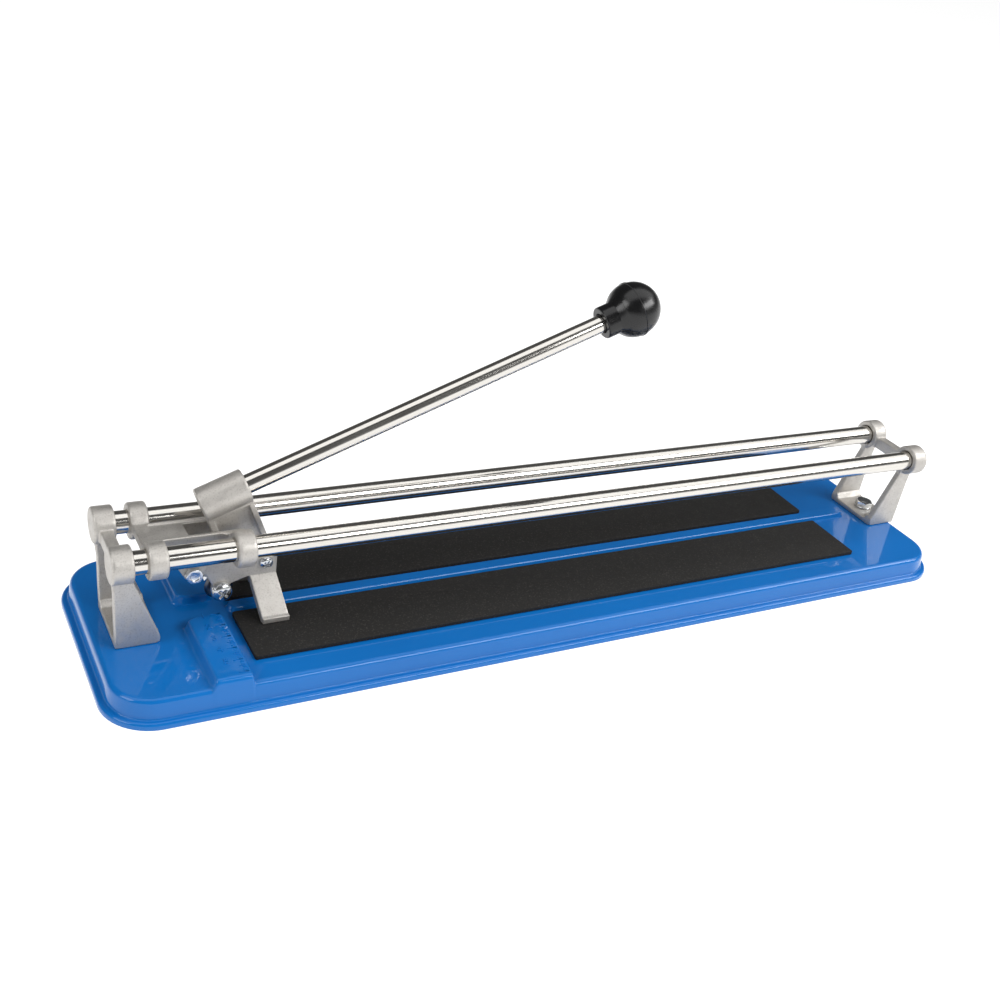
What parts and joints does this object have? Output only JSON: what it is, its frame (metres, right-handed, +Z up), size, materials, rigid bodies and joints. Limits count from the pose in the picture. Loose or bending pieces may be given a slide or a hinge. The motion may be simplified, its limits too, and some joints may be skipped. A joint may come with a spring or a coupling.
{
  "type": "tile cutter",
  "caption": "Manual tile cutter: a pressed steel base with padded bed, guide rails, a sliding carriage, and a lever that scores with a wheel and breaks with wings.",
  "frame": {"origin": "middle of the base, on the bench that it stands on", "axes": "+X along the rails, away from the fence; +Y away from the operator's side; +Z up"},
  "size_m": [0.541, 0.137, 0.1876],
  "materials": {
    "blue_paint": "glossy baked enamel",
    "black_rubber": "matt, fine speckle",
    "chrome": "bright plated steel",
    "cast_metal": "as cast, tumbled, satin",
    "zinc_plate": "bright zinc plate",
    "black_plastic": "moulded, semi-gloss",
    "wheel_steel": "ground"
  },
  "bodies": {
    "base": {"base_pan": "blue_paint", "pad_near": "black_rubber", "pad_far": "black_rubber", "rail_near": "chrome", "rail_far": "chrome", "end_bracket_left": "cast_metal", "end_bracket_right": "cast_metal", "bracket_bolt_left": "zinc_plate", "bracket_bolt_right": "zinc_plate", "bracket_washer_left": "zinc_plate", "bracket_washer_right": "zinc_plate", "bracket_nut_left": "zinc_plate", "bracket_nut_right": "zinc_plate"},
    "carriage": {"carriage": "cast_metal", "bush_left_near": "cast_metal", "bush_left_far": "cast_metal", "bush_right_near": "cast_metal", "bush_right_far": "cast_metal", "pivot_bolt": "zinc_plate", "pivot_nut": "zinc_plate"},
    "lever": {"lever_head": "cast_metal", "lever_tube": "chrome", "knob": "black_plastic", "wing_plate_near": "cast_metal", "wing_plate_far": "cast_metal", "wheel_spacer_near": "zinc_plate", "wheel_spacer_far": "zinc_plate", "wheel_screw": "zinc_plate", "wheel_nut": "zinc_plate", "clamp_screw": "zinc_plate", "clamp_nut": "zinc_plate"},
    "wheel": {"scoring_wheel": "wheel_steel"}
  },
  "joints": [
    {"name": "carriage_slide", "type": "slide", "parent": "base", "child": "carriage", "axis": [1, 0, 0], "range_m": [-0.005, 0.408]},
    {"name": "lever_tilt", "type": "hinge", "parent": "carriage", "child": "lever", "pos_m": [-0.216, 0, 0.045], "axis": [0, -1, 0], "range_deg": [0, 35]},
    {"name": "wheel_spin", "type": "hinge", "parent": "lever", "child": "wheel", "pos_m": [-0.2001, 0, 0.0297], "axis": [0, -1, 0], "continuous": true}
  ]
}
